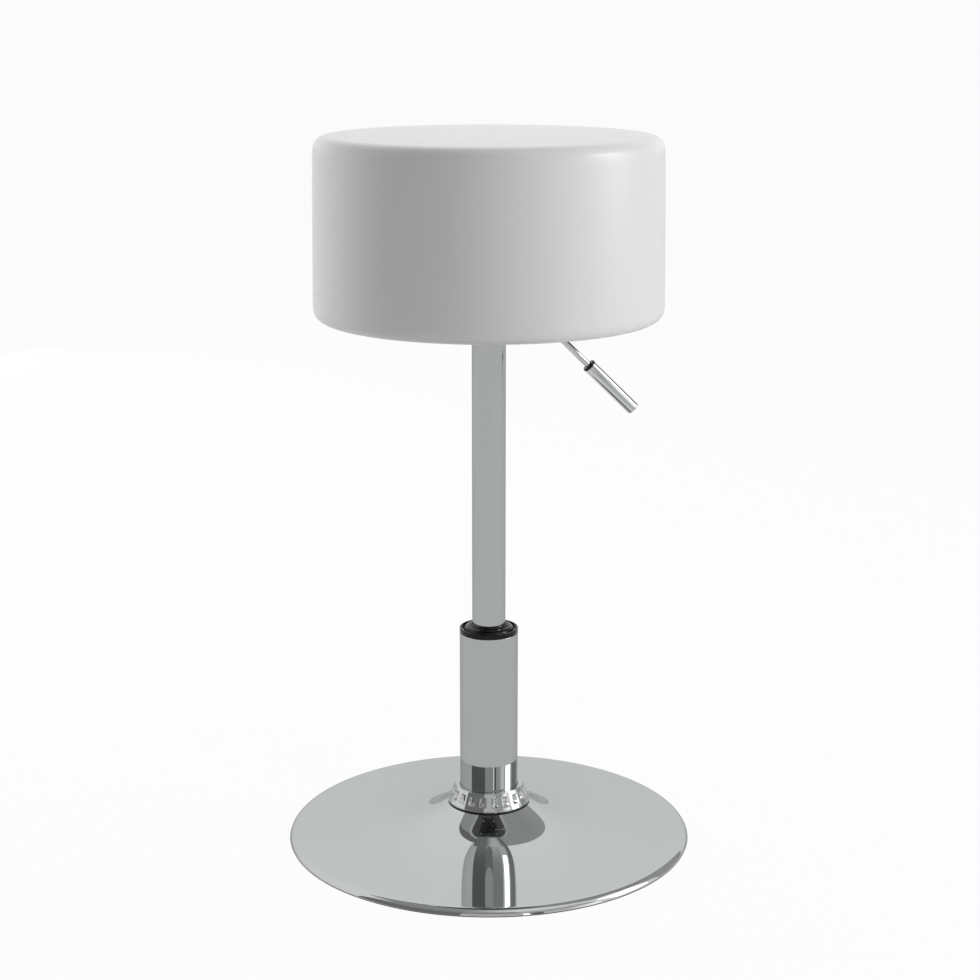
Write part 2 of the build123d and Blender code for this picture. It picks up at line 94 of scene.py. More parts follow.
# %% Camera
stand = (0.0, -2.0423, 0.8694)
look_down = radians(13.67)
lens_data = bpy.data.cameras.new("long_lens")
lens_data.sensor_width = 36.0
lens_data.lens = 75.82
lens_data.shift_x = 0.0012
camera = bpy.data.objects.new("camera", lens_data)
camera.location = stand
camera.rotation_euler = (pi / 2 - look_down, 0.0, 0.0)
bpy.context.scene.collection.objects.link(camera)
bpy.context.scene.camera = camera
bpy.context.scene.view_settings.view_transform = "Standard"
print("camera", tuple(round(x, 3) for x in camera.location), "lens", lens_data.lens)

# %% [markdown]
# ## Tools for turned parts
# Most of this stool is turned: a flat outline spun about the column. A CAD mesh of such a part has long thin
# triangles, and chrome shows every one of them. Spinning the outline again with many even steps gives
# calm reflections. Real edges are never knife sharp, so each corner of an outline gets a small round first.


# %% Outlines with rounded corners
MOST_OF_EDGE = 0.49


def rounded(corners, closed=True, steps=6):
    """Turns (x, y, round) corners in millimetres into points, with an arc at each rounded corner."""
    points = []
    last = len(corners) - 1
    for i, (x, y, size) in enumerate(corners):
        here = Vector((x, y))
        if size == 0 or (not closed and i in (0, last)):
            points.append(here)
            continue
        back = Vector(corners[i - 1][:2]) - here
        ahead = Vector(corners[(i + 1) % len(corners)][:2]) - here
        half = back.angle(ahead) / 2
        reach = min(size / tan(half), MOST_OF_EDGE * back.length, MOST_OF_EDGE * ahead.length)
        centre = here + (back.normalized() + ahead.normalized()).normalized() * (reach / cos(half))
        first = here + back.normalized() * reach - centre
        final = here + ahead.normalized() * reach - centre
        swing = atan2(first.cross(final), first.dot(final))
        for k in range(steps + 1):
            turn = Matrix.Rotation(swing * k / steps, 2)
            points.append(centre + turn @ first)
    return [(p.x, p.y) for p in points]


def bezier(start, first, second, end, steps):
    """Points on a curve with two handles."""
    ends = [np.array(p) for p in (start, first, second, end)]
    share = np.linspace(0, 1, steps + 1)[:, None]
    rest = 1 - share
    curve = (
        rest**3 * ends[0] + 3 * rest**2 * share * ends[1]
        + 3 * rest * share**2 * ends[2] + share**3 * ends[3]
    )
    return [tuple(p) for p in curve]


square = rounded([(0, 0, 2), (9, 0, 2), (9, 9, 2), (0, 9, 2)])
print("a square with 2 mm corners has", len(square), "points")


# %% Spinning an outline
WELD = 1e-7
ON_AXIS = 1e-6


def finish_mesh(name, points, faces, sharp=32.0):
    """Makes a smooth mesh object from points in millimetres, with hard edges at real corners."""
    mesh = bpy.data.meshes.new(name)
    mesh.from_pydata([(x * MM, y * MM, z * MM) for x, y, z in points], [], faces)
    work = bmesh.new()
    work.from_mesh(mesh)
    bmesh.ops.remove_doubles(work, verts=work.verts, dist=WELD)
    bmesh.ops.recalc_face_normals(work, faces=work.faces)
    work.to_mesh(mesh)
    work.free()
    mesh.shade_smooth()
    mesh.set_sharp_from_angle(angle=radians(sharp))
    piece = bpy.data.objects.new(name, mesh)
    bpy.context.scene.collection.objects.link(piece)
    print(name, len(mesh.vertices), "points", len(mesh.polygons), "faces")
    return piece


def spun(outline, turns=192, closed=True):
    """Points and faces of an outline of (radius, height) spun about the upright axis."""
    points, faces = [], []
    for k in range(turns):
        angle = 2 * pi * k / turns
        points += [(r * cos(angle), r * sin(angle), z) for r, z in outline]
    count = len(outline)
    for k in range(turns):
        here, there = k * count, (k + 1) % turns * count
        for i in range(count if closed else count - 1):
            j = (i + 1) % count
            ring = [here + i, here + j, there + j, there + i]
            if outline[i][0] < ON_AXIS:
                ring.remove(there + i)
            if outline[j][0] < ON_AXIS:
                ring.remove(there + j)
            if len(ring) > 2:
                faces.append(ring)
    return points, faces


def turned(name, outline, turns=192):
    """A part turned about the column from a closed outline."""
    return finish_mesh(name, *spun(outline, turns))


def dress(piece, body, slot, *nodes):
    """Lets a new piece move with its body and stand for the solids that it covers."""
    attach(piece, body)
    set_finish(piece, slot)
    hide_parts(*nodes)
    return piece


# %% [markdown]
# ## The foot
# The foot is a steel pan, spun like a shallow trumpet: steep beside the column, almost flat further out, and
# rolled over to the floor in one large round. The flare is one curve with two handles, sampled finely,
# because the whole stool is mirrored in it. A black rubber ring under the rim keeps the steel off the floor.

# %% Trumpet foot
sheet = 1.5
column_hole = 30.5
foot_turns = 320
crown = (43.2, 35.9)
crown_lean, crown_slope = radians(18), radians(36)
rim = (202.4, 7.65)
rim_slope = radians(1.1)
crown_pull, rim_pull = 0.24, 0.71
roll_middle = (202.32, -0.15)
roll_size = 7.8
cut_edge = [(209.85, 1.25), (209.40, 1.15), (208.80, 1.30)]


def flare(drop):
    """The foot's curve from the crown to the rim, lowered by the sheet's thickness for its inside."""
    start = (crown[0] - drop * tan(crown_lean), crown[1] - drop)
    end = (rim[0], rim[1] - drop)
    span = end[0] - start[0]
    inner, outer = crown_pull * span, rim_pull * span
    first = (start[0] + inner * cos(crown_slope), start[1] - inner * sin(crown_slope))
    second = (end[0] - outer * cos(rim_slope), end[1] + outer * sin(rim_slope))
    return bezier(start, first, second, end, steps=140)


def roll(size, last):
    """The rim's large round, from its top to an angle in degrees."""
    return [
        (roll_middle[0] + size * sin(radians(a)), roll_middle[1] + size * cos(radians(a)))
        for a in np.linspace(2.5, last, 28)
    ]


pan_outline = (
    [(column_hole, crown[1])]
    + flare(0.0)
    + roll(roll_size, 78)
    + cut_edge
    + roll(roll_size - sheet, 72)[::-1]
    + flare(sheet)[::-1]
    + [(column_hole, crown[1] - sheet)]
)
dress(turned("foot_pan", pan_outline, foot_turns), "base", "chrome", "base_shell")

ring_inside, ring_outside = 200.0, 209.4
ring_outline = rounded([
    (ring_inside, 0.0, 0.3), (ring_outside, 0.0, 0.4), (ring_outside, 1.2, 0.2),
    (207.6, 1.2, 0), (205.0, 4.6, 0.5), (ring_inside, 5.2, 0.3),
])
dress(turned("foot_ring", ring_outline, foot_turns), "base", "rubber", "floor_ring")

# %% [markdown]
# ## The column
# A wide sleeve stands on the foot, and a slimmer tube slides in it. Both are drawn steel tube, so they are
# plain turned parts with lightly broken edges. The slim tube narrows at its top, where it grips the socket.

# %% Sleeve and sliding tube
sleeve_bore, sleeve_radius = 28.2, 30.2
sleeve_foot, sleeve_top = 11.0, 222.0


def ring_section(bore, radius, foot, top, rounds):
    """The outline of a plain ring, from the foot of its bore round to the top of it."""
    corners = [(bore, foot), (radius, foot), (radius, top), (bore, top)]
    return rounded([(*corner, size) for corner, size in zip(corners, rounds)])


sleeve_outline = ring_section(sleeve_bore, sleeve_radius, sleeve_foot, sleeve_top, [0.3] * 4)
dress(turned("sleeve", sleeve_outline, 256), "base", "chrome", "outer_tube")

tube_bore, tube_radius, tube_floor = 15.2, 17.2, 2.0
tube_foot, tube_top = 150.0, 576.0
taper_foot, taper_top, taper_radius = 528.0, 566.0, 16.3
rod_hole, pin_hole = 7.9, 5.0
tube_outline = rounded([
    (rod_hole, tube_foot, 0), (tube_radius, tube_foot, 0.6), (tube_radius, taper_foot, 0),
    (taper_radius, taper_top, 0), (taper_radius, tube_top, 0.6), (pin_hole, tube_top, 0),
    (pin_hole, tube_top - tube_floor, 0), (tube_bore, tube_top - tube_floor, 0),
    (tube_bore, tube_foot + tube_floor, 0), (rod_hole, tube_foot + tube_floor, 0),
])
dress(turned("sliding_tube", tube_outline, 224), "seat", "chrome", "upper_tube")

# %% [markdown]
# ## The collar
# A moulded bush closes the top of the sleeve and guides the tube. From above it is a black rim, a groove and
# a low dome, with a soft wiper lip hugging the tube. The rounds on the mould edges catch thin lines of light.

# %% Guide bush and wiper lip
bush_bore, bush_fit = 17.26, 28.18
bush_foot, bush_top = 150.0, 227.3
groove_outside, groove_floor = 28.5, 224.6
dome_inside, dome_foot = 20.6, 225.2
dome_wide, dome_tall = 5.0, 4.3
lip_foot, lip_shoulder, lip_top = 223.3, 229.5, 231.1
lip_outside, lip_edge = 20.46, 18.06
bush_outline = rounded([
    (bush_bore, bush_foot, 0), (bush_fit, bush_foot, 0), (bush_fit, sleeve_top, 0),
    (sleeve_radius, sleeve_top, 0.25), (sleeve_radius, bush_top, 0.8),
    (groove_outside, bush_top, 0.4), (groove_outside, groove_floor, 0.3),
    (dome_inside + dome_wide, groove_floor, 0.3), (dome_inside + dome_wide, dome_foot, 0),
], closed=False)
bush_outline += [
    (dome_inside + dome_wide * cos(radians(a)), dome_foot + dome_tall * sin(radians(a)))
    for a in np.linspace(10, 90, 12)
]
bush_outline += [(20.48, lip_foot), (bush_bore, lip_foot)]
dress(turned("collar_bush", bush_outline), "base", "black_plastic", "guide_bush")

wiper_outline = rounded([
    (bush_bore, lip_foot, 0), (lip_outside, lip_foot, 0), (lip_outside, lip_shoulder, 0.5),
    (lip_edge, lip_top, 0.3), (bush_bore, lip_top, 0.15),
])
dress(turned("wiper_lip", wiper_outline), "base", "rubber", "wiper_seal")

# %% [markdown]
# ## The trim ring
# A die-cast ring hides the joint between sleeve and foot. Twenty small windows are sunk into its sloping
# skirt, and their backs are upright, so they are deepest at the bottom. A Boolean would cut them, but it
# leaves ragged triangles that chrome would show. Here each twentieth of the skirt is a patch whose loops of
# points shrink from the patch's edge to the window, turn over a round and run in to the window's back.
# A black gasket seats the ring on the foot.

# %% One window patch
WINDOWS = 20
SIDE = 8
WINDOW_BACK = 35.0
skirt_top, skirt_foot = Vector((35.0, 56.0)), Vector((42.3, 39.2))
slope = (skirt_foot - skirt_top).normalized()
face_out = Vector((-slope.y, slope.x))
skirt_middle = (skirt_top + skirt_foot) / 2
skirt_half = (skirt_foot - skirt_top).length / 2
top_break = 0.5


def on_skirt(sector, across, along, depth, sink):
    """A point of the skirt, from the middle of its window: an angle across, a length down the slope, a depth.
    A sink of one takes it level to the upright back of the window."""
    flat = skirt_middle + slope * along - face_out * depth
    flat.x += (WINDOW_BACK - flat.x) * sink
    angle = 2 * pi * (sector + 0.5) / WINDOWS + across
    return flat.x * cos(angle), flat.x * sin(angle), flat.y


def frame_loop(wide, tall, size):
    """A loop of points round a rectangle with rounded corners, a fixed number on each side."""
    loop = []
    for quarter in range(4):
        w, t = (wide, tall) if quarter % 2 == 0 else (tall, wide)
        bend = [(-w + size - size * sin(radians(a)), -t + size - size * cos(radians(a))) for a in (45, 22.5)]
        run = [(x, -t) for x in np.linspace(-w + size, w - size, SIDE - 3)]
        side = bend + run + [(-x, y) for x, y in bend[::-1]][:1]
        turn = Matrix.Rotation(quarter * pi / 2, 2)
        loop += [tuple(turn @ Vector(p)) for p in side]
    return loop


def patch_edge():
    """The loop round the edge of a patch, with as many points as the window's."""
    half_turn = pi / WINDOWS
    ticks = np.linspace(-1, 1, SIDE + 1)[:-1]
    top, foot = -skirt_half + top_break, skirt_half
    loop = [(half_turn * t, top) for t in ticks]
    loop += [(half_turn, top + (foot - top) * (t + 1) / 2) for t in ticks]
    loop += [(-half_turn * t, foot) for t in ticks]
    loop += [(-half_turn, foot - (foot - top) * (t + 1) / 2) for t in ticks]
    return loop


print("points round a window", len(frame_loop(3, 5, 1)), "and round its patch", len(patch_edge()))


# %% Trim ring
window_half_width, window_half_height, window_round = 3.3, 4.9, 1.1
brow_round = 0.4
wall_steps = ((0.3, -0.5), (0.6, -1.0), (0.9, -1.5), (0.98, -1.65), (1.0, -1.8), (1.0, -2.3), (1.0, -2.8))
lip_radius, ring_foot = 43.0, 37.9
ring_bore, ring_ledge, ring_grip = 33.6, 53.0, 30.5


def window_loops():
    """Loops from the patch's edge to the back of the window, as (across, along, depth, sink)."""
    edge = patch_edge()
    mean_radius = skirt_middle.x
    loops = []

    def window(grow, depth, sink=0.0):
        bend = max(window_round + grow, 0.1)
        outline = frame_loop(window_half_width + grow, window_half_height + grow, bend)
        return [(x / mean_radius, y, depth, sink) for x, y in outline]

    brow = window(brow_round, 0.0)
    for share in (0.0, 0.4, 0.75, 1.0):
        loops.append([
            (e[0] + (w[0] - e[0]) * share, e[1] + (w[1] - e[1]) * share, 0.0, 0.0)
            for e, w in zip(edge, brow)
        ])
    for a in (22.5, 45, 67.5, 90):
        loops.append(window(brow_round * (1 - sin(radians(a))), brow_round * (1 - cos(radians(a)))))
    for sink, grow in wall_steps:
        loops.append(window(grow, brow_round, sink))
    return loops


def ring_mesh():
    """Points and faces of the ring: its twenty patches, and the body that closes them behind."""
    points, faces = [], []
    loops = window_loops()
    count = len(loops[0])
    for sector in range(WINDOWS):
        base = len(points)
        for loop in loops:
            points += [on_skirt(sector, *p) for p in loop]
        for row in range(len(loops) - 1):
            for i in range(count):
                j = (i + 1) % count
                a, b = base + row * count, base + (row + 1) * count
                faces.append([a + i, a + j, b + j, b + i])
        faces.append([base + (len(loops) - 1) * count + i for i in range(count)])
    top = skirt_top + slope * top_break
    body = rounded([
        (skirt_foot.x, skirt_foot.y, 0), (lip_radius, skirt_foot.y, 0.3),
        (lip_radius, ring_foot, 0.4), (ring_bore, ring_foot, 0),
    ], closed=False)
    body += rounded([
        (ring_bore, ring_foot, 0), (ring_bore, ring_ledge, 0), (ring_grip, ring_ledge, 0),
        (ring_grip, skirt_top.y, 0.3), (skirt_top.x, skirt_top.y, 0.48), (top.x, top.y, 0),
    ], closed=False)[1:]
    more_points, more_faces = spun(body, WINDOWS * SIDE, closed=False)
    start = len(points)
    return points + more_points, faces + [[start + i for i in face] for face in more_faces]


trim = dress(finish_mesh("trim_band", *ring_mesh()), "base", "chrome", "trim_ring")

gasket_radius = 42.1
gasket_outline = ring_section(ring_bore, gasket_radius, crown[1], ring_foot, (0, 0, 0.3, 0))
dress(turned("trim_gasket", gasket_outline), "base", "rubber", "trim_ring")

# %% [markdown]
# ## The release lever
# A bent rod comes down through the seat plate and carries a turned handle. The rod is a round section
# carried along its path. The path lies in one upright plane, so the section only turns about that plane's
# normal. The handle, its end collar and the pivot sleeve are turned parts, laid along their own axes.

# %% Lever rod
lever_turn = radians(10)
lever_side = Matrix.Rotation(lever_turn, 4, "Z")
droop = radians(44.6)
pivot = Vector((60.4, 0.0, 540.0))
rod_radius, rod_bend, rod_reach = 3.3, 10.0, 118.8
riser_out, push_in, push_height = 46.0, -6.0, 592.0


def swept(path, radius, sides=28):
    """Points and faces of a round bar along (reach, height) points in an upright plane."""
    points, faces = [], []
    path = [Vector(p) for p in path]
    for i, here in enumerate(path):
        ahead = (path[min(i + 1, len(path) - 1)] - path[max(i - 1, 0)]).normalized()
        out = Vector((-ahead.y, ahead.x))
        for k in range(sides):
            turn = 2 * pi * k / sides
            flat = here + out * radius * cos(turn)
            points.append((flat.x, radius * sin(turn), flat.y))
    for i in range(len(path) - 1):
        for k in range(sides):
            a, b = i * sides, (i + 1) * sides
            n = (k + 1) % sides
            faces.append([a + k, a + n, b + n, b + k])
    faces.append(list(range(sides)))
    faces.append([len(points) - 1 - k for k in range(sides)])
    return points, faces


def laid(points, matrix):
    """Moves points by a matrix."""
    return [tuple(matrix @ Vector(p)) for p in points]


outer_end = (pivot.x + rod_reach * cos(droop), pivot.z - rod_reach * sin(droop))
knee = (riser_out, pivot.z + (pivot.x - riser_out) * tan(droop))
rod_path = rounded([
    (*outer_end, 0), (*knee, rod_bend), (riser_out, push_height, rod_bend), (push_in, push_height, 0),
], closed=False, steps=14)
rod_points, rod_faces = swept(rod_path, rod_radius)
eye_bore, eye_radius, eye_half = 2.06, 5.0, 7.0
eye_outline = ring_section(eye_bore, eye_radius, -eye_half, eye_half, (0, 0.4, 0.4, 0))
eye_points, eye_faces = spun(eye_outline, 48)
eye_points = laid(eye_points, Matrix.Translation(pivot) @ Matrix.Rotation(pi / 2, 4, "X"))
lever_points = laid(rod_points + eye_points, lever_side)
lever_faces = rod_faces + [[len(rod_points) + i for i in face] for face in eye_faces]
dress(finish_mesh("bent_lever", lever_points, lever_faces), "lever", "chrome", "lever_rod")

# %% Handle and its end collar
along_lever = lever_side @ Matrix.Translation(pivot) @ Matrix.Rotation(pi / 2 + droop, 4, "Y")
grip_bore, grip_radius, collar_radius = 3.32, 6.7, 7.0
collar_start, grip_start, bore_end, grip_end = 58.6, 61.2, 118.82, 125.8
grip_outline = rounded([
    (grip_bore, grip_start, 0), (grip_radius, grip_start, 0.25), (grip_radius, grip_end, 1.2),
    (0.0, grip_end, 0), (0.0, bore_end, 0), (grip_bore, bore_end, 0),
])
collar_outline = ring_section(grip_bore, collar_radius, collar_start, grip_start, (0.3, 0.9, 0.3, 0))


def on_lever(name, outline, slot, node):
    """A part turned about the lever's own axis."""
    points, faces = spun(outline, 96)
    dress(finish_mesh(name, laid(points, along_lever), faces), "lever", slot, node)


on_lever("grip", grip_outline, "chrome", "lever_handle")
on_lever("grip_collar", collar_outline, "black_plastic", "lever_cap")

# %% [markdown]
# ## The padded seat
# The seat is a wooden drum under foam and one white skin, drawn down over the edge and tacked underneath.
# Stuffing is what gives it life: the top crowns, the wall fills out. So the skin starts as a slightly flat,
# slightly small drum, is pinned where it is tacked, and Blender's cloth swells it with air pressure. The
# middle of the top is a square net bent to a circle, so that no fan of thin triangles gathers there.

# %% The slack skin
ROUND = 128
NET = ROUND // 4
skin_radius, skin_foot_radius = 172.9, 175.2
skin_top, skin_bottom = 728.2, 549.0
top_round, foot_round = 12.5, 10.5
net_radius, ring_step = 60.0, 5.0


def disc_net(radius):
    """A square net of points bent to a circle: (x, y) rows whose outer points are evenly spaced."""
    rows = []
    for j in range(NET + 1):
        row = []
        for i in range(NET + 1):
            u, v = 2 * i / NET - 1, 2 * j / NET - 1
            far = max(abs(u), abs(v))
            if far == 0:
                row.append((0.0, 0.0))
                continue
            angle = pi / 4 * v / u if abs(u) >= abs(v) else pi / 2 - pi / 4 * u / v
            sign = (1 if u > 0 else -1) if abs(u) >= abs(v) else (1 if v > 0 else -1)
            row.append((sign * far * radius * cos(angle), sign * far * radius * sin(angle)))
        rows.append(row)
    return rows


def stepped(outline, step):
    """Points spaced evenly along an outline."""
    corners = np.array(outline, float)
    length = np.r_[0, np.cumsum(np.linalg.norm(np.diff(corners, axis=0), axis=1))]
    marks = np.linspace(0, length[-1], int(length[-1] / step) + 1)
    return list(zip(np.interp(marks, length, corners[:, 0]), np.interp(marks, length, corners[:, 1])))


def slack_skin():
    """Points and faces of the skin before it is stuffed: a closed drum of even squares."""
    edge = rounded([
        (net_radius, skin_top, 0), (skin_radius, skin_top, top_round),
        (skin_foot_radius, skin_bottom, foot_round), (net_radius, skin_bottom, 0),
    ], closed=False, steps=8)
    rings = stepped(edge, ring_step)
    points, faces = [], []
    for r, z in rings:
        points += [(r * cos(2 * pi * k / ROUND), r * sin(2 * pi * k / ROUND), z) for k in range(ROUND)]
    for i in range(len(rings) - 1):
        for k in range(ROUND):
            a, b, n = i * ROUND, (i + 1) * ROUND, (k + 1) % ROUND
            faces.append([a + k, b + k, b + n, a + n])
    for z in (skin_top, skin_bottom):
        start = len(points)
        points += [(x, y, z) for row in disc_net(net_radius) for x, y in row]
        for j in range(NET):
            for i in range(NET):
                a = start + j * (NET + 1) + i
                faces.append([a, a + 1, a + NET + 2, a + NET + 1])
    return points, faces


seat_skin = finish_mesh("seat_skin", *slack_skin(), sharp=180)
slack = np.array([v.co for v in seat_skin.data.vertices])
print("slack drum", (slack.max(0) - slack.min(0)).round(4))


# %% Stuffing it
cloth_values = dict(
    quality=6, mass=0.4, tension_stiffness=40, compression_stiffness=40, shear_stiffness=20,
    bending_stiffness=2.0, use_pressure=True, vertex_group_mass="tacked",
)


def stuff(piece, tacked, pressure, frames=20):
    """Swells a closed skin with cloth simulation and returns where its points end up."""
    group = piece.vertex_groups.new(name="tacked")
    group.add([int(i) for i in tacked], 1.0, "REPLACE")
    cloth = piece.modifiers.new("stuffing", "CLOTH")
    for field, value in cloth_values.items():
        setattr(cloth.settings, field, value)
    cloth.settings.uniform_pressure_force = pressure
    cloth.settings.effector_weights.gravity = 0
    cloth.point_cache.frame_start = 1
    cloth.point_cache.frame_end = frames
    scene = bpy.context.scene
    for step in range(1, frames + 1):
        scene.frame_set(step)
    settled = piece.evaluated_get(bpy.context.evaluated_depsgraph_get()).to_mesh()
    swollen = np.array([v.co for v in settled.vertices])
    piece.modifiers.remove(cloth)
    piece.vertex_groups.clear()
    scene.frame_set(1)
    return swollen


def furthest(moves):
    """The longest move, in millimetres."""
    return (np.linalg.norm(moves, axis=1).max() / MM).round(2)


air_pressure = 4.0
tack_height, tack_radius = 0.5495, 0.160
away = np.hypot(slack[:, 0], slack[:, 1])
tacked = np.flatnonzero((slack[:, 2] < tack_height) & (away < tack_radius))
swollen = stuff(seat_skin, tacked, air_pressure)
moved = swollen - slack
print("stuffing moved the skin by at most", furthest(moved), "mm")

# %% [markdown]
# The padding under the skin is firm. It evens out what the air did: each point shares its move with its
# neighbours many times over, which irons out the small wrinkles. It also leaves little room sideways and more
# upwards, and that limit sets in softly, so it leaves no crease. Underneath, the skin is gathered into pleats
# and opens round the mechanism. One subdivision and a real leather thickness finish it.


# %% Settle the skin on its padding
def evened(field, links, fixed, passes):
    """Shares each point's move with its neighbours, again and again."""
    ends = np.r_[links, links[:, ::-1]]
    near = np.bincount(ends[:, 0], minlength=len(field))[:, None]
    for _ in range(passes):
        sums = [np.bincount(ends[:, 0], field[ends[:, 1], k], len(field)) for k in range(3)]
        field = 0.5 * field + 0.5 * np.stack(sums, axis=1) / near
        field[fixed] = 0
    return field


links = np.array([e.vertices for e in seat_skin.data.edges])
moved = evened(moved, links, tacked, passes=150)


def eased(move, room):
    """Holds moves to the room there is, setting in softly."""
    size = np.maximum(np.linalg.norm(move, axis=1, keepdims=True), 1e-9)
    return move / size * room * np.tanh(size / room)


room_out, room_up = 0.9 * MM, 1.9 * MM
settled = slack + np.hstack([eased(moved[:, :2], room_out), eased(moved[:, 2:], room_up)])
print("padding lets the skin move by", furthest(settled - slack), "mm")

# %% Pleat and open the skin
pleat_depth, tuck = 0.5 * MM, 0.4 * MM
pleat_edge, pleat_fade = 0.166, 0.02
opening_radius, opening_height = 0.112, 0.552
angle = np.arctan2(settled[:, 1], settled[:, 0])
under = (settled[:, 2] < 0.5525) & (away > 0.10)
gather = np.sin(26 * angle) * 0.5 + np.sin(17 * angle + 1.3) * 0.3 + np.sin(41 * angle + 0.4) * 0.2
fade = np.clip((pleat_edge - away) / pleat_fade, 0, 1)
settled[under, 2] += pleat_depth * (gather * fade)[under] + tuck * fade[under]
seat_skin.data.vertices.foreach_set("co", settled.ravel())
work = bmesh.new()
work.from_mesh(seat_skin.data)
middles = [(f, f.calc_center_median()) for f in work.faces]
hidden = [f for f, middle in middles if middle.z < opening_height and middle.xy.length < opening_radius]
bmesh.ops.delete(work, geom=hidden, context="FACES")
work.to_mesh(seat_skin.data)
work.free()
finer = seat_skin.modifiers.new("finer", "SUBSURF")
finer.levels = finer.render_levels = 1
leather = seat_skin.modifiers.new("leather", "SOLIDIFY")
leather.thickness = 1.2 * MM
leather.offset = -1
dress(seat_skin, "seat", "white_cover", "cushion_cover", "cushion_foam")
reach_out, reach_up = np.abs(settled[:, :2]).max() / MM, settled[:, 2].max() / MM
print("skin reaches", reach_out.round(2), "mm out and", reach_up.round(2), "mm up")

# %% [markdown]
# ## The dust cloth
# A thin felt is stapled under the seat to hide the raw edge of the skin. It is a flat ring of cloth, drawn
# tight, with a way through for the lever and the bolts. Between staples it sags a little, which is all the
# shape it needs.

# %% Dust cloth
STAPLES = 30
felt_height = 548.72
felt_hole, felt_radius, plate_edge = 25, 150, 104
slot_half_width, slot_start, slot_end = 7.5, 34, 68
bolt_corner, bolt_hole = Vector((60, 60)), 5


def cloth_ring(turns=240):
    """Points and faces of the felt, as rings from the middle hole to the stapled edge."""
    radii = np.r_[np.linspace(felt_hole, plate_edge, 32), np.linspace(plate_edge + 3, felt_radius, 15)]
    points, faces = [], []
    for r in radii:
        for k in range(turns):
            a = 2 * pi * k / turns
            loose = np.clip((r - plate_edge) / 30, 0, 1)
            sag = 0.28 * loose * (1 - cos(STAPLES * a)) / 2 + 0.12 * loose * sin(7 * a + 0.5)
            points.append((r * cos(a), r * sin(a), felt_height - sag))
    for i in range(len(radii) - 1):
        for k in range(turns):
            a, b, n = i * turns, (i + 1) * turns, (k + 1) % turns
            middle = Vector(points[a + k]) / 2 + Vector(points[b + n]) / 2
            local = Matrix.Rotation(-lever_turn, 2) @ middle.xy
            slot = abs(local.y) < slot_half_width and slot_start < local.x < slot_end
            bolt = (Vector((abs(middle.x), abs(middle.y))) - bolt_corner).length < bolt_hole
            if not slot and not bolt:
                faces.append([a + k, b + k, b + n, a + n])
    return points, faces


felt = finish_mesh("dust_felt", *cloth_ring(), sharp=180)
body_of_felt = felt.modifiers.new("felt", "SOLIDIFY")
body_of_felt.thickness = 0.5 * MM
body_of_felt.offset = 0
dress(felt, "seat", "dust_cloth", "dust_cloth")

# %% Staples
staple_half, staple_leg, staple_low = 5.2, 2.2, -0.35
staple_place = Vector((0, 144.5, 548.2))
wire_radius = 0.45


def staple_mesh():
    """Wire staples round the edge of the felt, legs up, none set quite straight."""
    path = rounded([
        (-staple_half, staple_leg, 0), (-staple_half, staple_low, 0.7),
        (staple_half, staple_low, 0.7), (staple_half, staple_leg, 0),
    ], closed=False, steps=4)
    points, faces = [], []
    wire_points, wire_faces = swept(path, wire_radius, 8)
    for k in range(STAPLES):
        round_to = Matrix.Rotation(2 * pi * (k + 0.15 * sin(9.7 * k)) / STAPLES, 4, "Z")
        place = round_to @ Matrix.Translation(staple_place)
        tilt = Matrix.Rotation(radians(6 * sin(5.1 * k)), 4, "Z")
        start = len(points)
        points += laid(wire_points, place @ tilt)
        faces += [[start + i for i in face] for face in wire_faces]
    return points, faces


staples = finish_mesh("felt_staples", *staple_mesh())
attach(staples, "seat")
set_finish(staples, "bright_steel")

# %% [markdown]
# ## Shared effects
# A finish is more than a colour. Hands leave haze on chrome and plastic, hide has grain, edges rub bare and
# dust settles. Each of these is built once as a node group and placed in the materials that need it, each
# with its own values.

# %% Building node groups
def new_group(name, inputs, outputs):
    """A shader node group, the values it is given and the node that takes its results."""
    group = bpy.data.node_groups.new(name, "ShaderNodeTree")
    for title, default in inputs.items():
        socket = group.interface.new_socket(title, in_out="INPUT", socket_type="NodeSocketFloat")
        socket.default_value = default
    for title in outputs:
        group.interface.new_socket(title, in_out="OUTPUT", socket_type="NodeSocketFloat")
    print(name, [s.name for s in group.interface.items_tree])
    return group, group.nodes.new("NodeGroupInput").outputs, group.nodes.new("NodeGroupOutput")


def feed(tree, node, inputs=None, **named):
    """Gives a node's inputs plain values, or joins them to other sockets."""
    for word, term in {**(inputs or {}), **named}.items():
        title = word.replace("_", " ").title().replace("Ior", "IOR") if isinstance(word, str) else word
        if isinstance(term, bpy.types.NodeSocket):
            tree.links.new(term, node.inputs[title])
        else:
            node.inputs[title].default_value = term


def add(tree, kind, inputs=None, **settings):
    """Adds a node, sets its fields and feeds its inputs."""
    node = tree.nodes.new("ShaderNode" + kind)
    for field, value in settings.items():
        setattr(node, field, value)
    feed(tree, node, inputs)
    return node


def math(tree, operation, *terms):
    """A Math node of sockets and plain numbers."""
    return add(tree, "Math", dict(enumerate(terms)), operation=operation).outputs[0]


def times(tree, value, factor):
    """A product."""
    return math(tree, "MULTIPLY", value, factor)


def layered(tree, value, share, base):
    """A share of a value on top of a base."""
    return math(tree, "MULTIPLY_ADD", value, share, base)


def ramp(tree, value, low, high, to_low=0.0, to_high=1.0, shape="SMOOTHSTEP"):
    """Maps a value between two limits onto two others, with no overshoot."""
    limits = {0: value, 1: low, 2: high, 3: to_low, 4: to_high}
    return add(tree, "MapRange", limits, interpolation_type=shape, clamp=True).outputs[0]


def in_place(tree):
    """The place on the piece, in metres, which stays with it when it moves."""
    return add(tree, "TexCoord").outputs["Object"]


def noise(tree, place, **inputs):
    """The value of a noise texture at a place."""
    return add(tree, "TexNoise", {"Vector": place, **inputs}).outputs[0]


print("node helpers ready")


